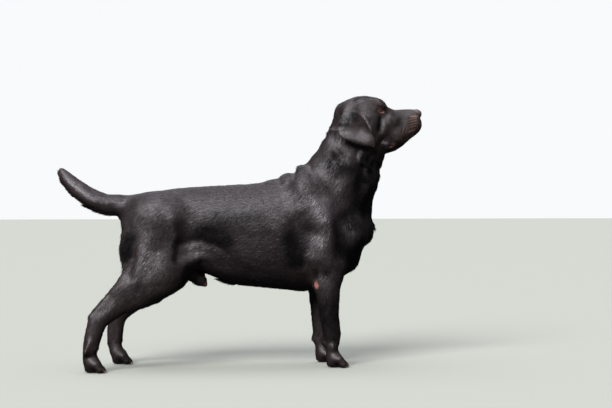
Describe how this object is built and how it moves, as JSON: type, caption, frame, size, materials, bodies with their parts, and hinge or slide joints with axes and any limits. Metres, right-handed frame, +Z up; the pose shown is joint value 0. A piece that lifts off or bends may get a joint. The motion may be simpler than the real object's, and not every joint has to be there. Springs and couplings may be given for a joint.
{
  "type": "standing labrador retriever dog, life-size still model",
  "caption": "Life-size still model of a dark brown male Labrador retriever, standing square-chested with its hind legs stretched back and its head raised.",
  "frame": {"origin": "on the floor under the middle of the dog's box", "axes": "+X towards the nose, +Y the dog's left side, +Z up; the soles lie in the plane Z = 0"},
  "size_m": [1.1032, 0.292, 0.8172],
  "materials": {
    "coat": "short, dense, straight dark chocolate coat with a satin sheen",
    "skin": "bare or thinly haired brown skin",
    "nose": "moist, finely pebbled brown leather",
    "eye": "wet, glossy dark amber",
    "claw": "dark brown horn, worn satin"
  },
  "bodies": {
    "root": {"head": "coat", "jaw": "coat", "nose": "nose", "eye_right": "eye", "eye_left": "eye", "ear_right": "coat", "ear_left": "coat", "neck": "coat", "torso": "coat", "tail": "coat", "sheath": "skin", "scrotum": "skin", "foreleg_right": "coat", "foreleg_left": "coat", "forepaw_right": "coat", "forepaw_left": "coat", "hindleg_right": "coat", "hindleg_left": "coat", "hindpaw_right": "coat", "hindpaw_left": "coat", "claw_fore_right_1": "claw", "claw_fore_right_2": "claw", "claw_fore_right_3": "claw", "claw_fore_right_4": "claw", "claw_fore_left_1": "claw", "claw_fore_left_2": "claw", "claw_fore_left_3": "claw", "claw_fore_left_4": "claw", "claw_hind_right_1": "claw", "claw_hind_right_2": "claw", "claw_hind_right_3": "claw", "claw_hind_right_4": "claw", "claw_hind_left_1": "claw", "claw_hind_left_2": "claw", "claw_hind_left_3": "claw", "claw_hind_left_4": "claw", "dewclaw_right": "claw", "dewclaw_left": "claw"}
  },
  "joints": []
}
